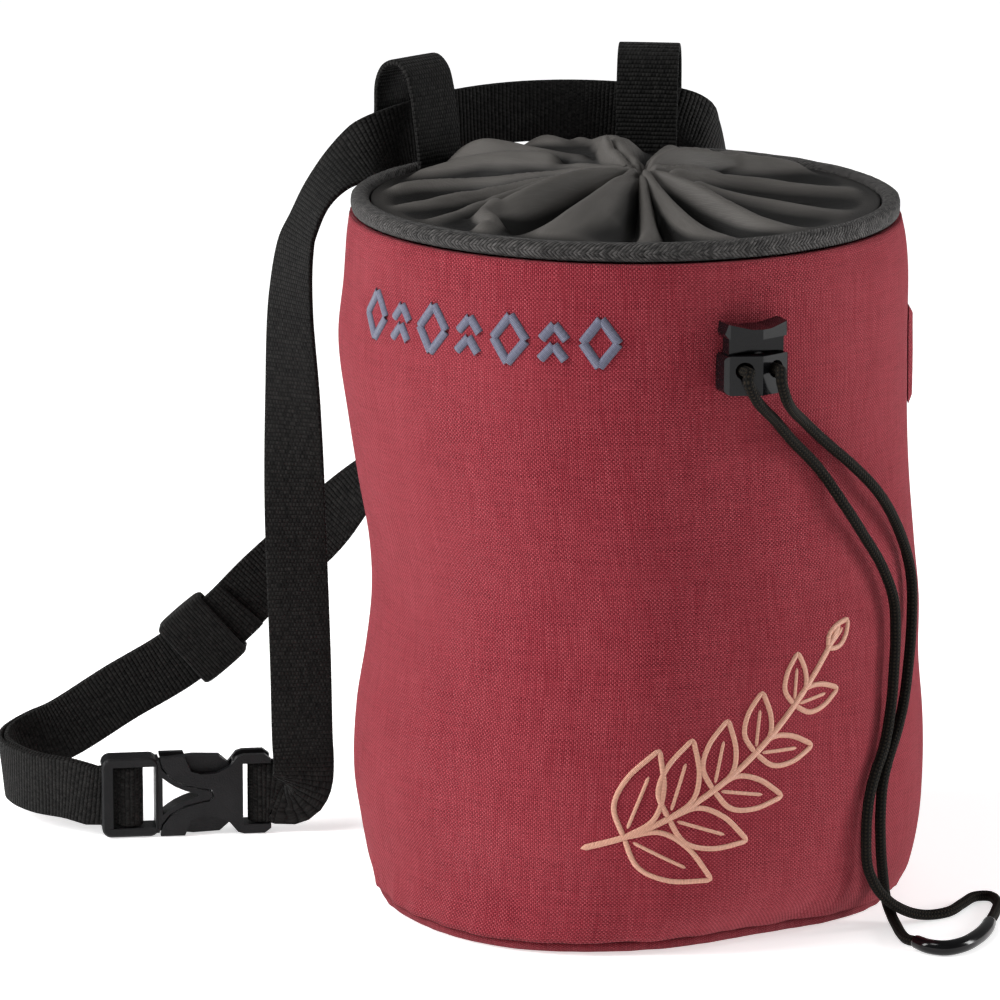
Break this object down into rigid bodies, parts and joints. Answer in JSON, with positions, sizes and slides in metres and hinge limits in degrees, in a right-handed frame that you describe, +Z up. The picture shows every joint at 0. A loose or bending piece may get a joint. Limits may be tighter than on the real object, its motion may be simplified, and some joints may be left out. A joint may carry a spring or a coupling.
{
  "type": "climbing chalk bag",
  "caption": "Soft cylindrical chalk bag with a gathered drawcord closure, webbing waist belt with side release buckle, and a push button cord lock on the front.",
  "frame": {"origin": "centre of the base's underside, on the floor", "axes": "+Z up along the bag, -Y the front with the cord lock near it, +X to the bag's right as seen from the front, belt loops at the back on +Y"},
  "size_m": [0.2168, 0.2102, 0.2051],
  "materials": {
    "red_fabric": "red melange woven fabric",
    "tape": "dark grey herringbone tape",
    "closure_fabric": "dark grey satin woven fabric",
    "webbing": "black ribbed webbing",
    "elastic": "black woven elastic",
    "buckle_resin": "moulded black plastic",
    "lock_resin": "glossy black plastic",
    "cord": "black braided cord"
  },
  "bodies": {
    "bag": {"wall": "red_fabric", "base_panel": "red_fabric", "rim_binding": "tape", "closure": "closure_fabric", "belt_loop_left": "webbing", "belt_loop_right": "webbing", "belt": "webbing", "keeper": "elastic", "buckle_male": "buckle_resin", "buckle_female": "buckle_resin", "cord_lock_body": "lock_resin", "cord_a": "cord", "cord_b": "cord", "cord_end": "lock_resin", "brush_sleeve": "red_fabric"},
    "button": {"cord_lock_button": "lock_resin"}
  },
  "joints": [
    {"name": "button_press", "type": "slide", "parent": "bag", "child": "button", "axis": [0, 0, -1], "range_m": [0, 0.0024], "stiffness_N_per_m": 100, "springref_m": -0.001}
  ]
}
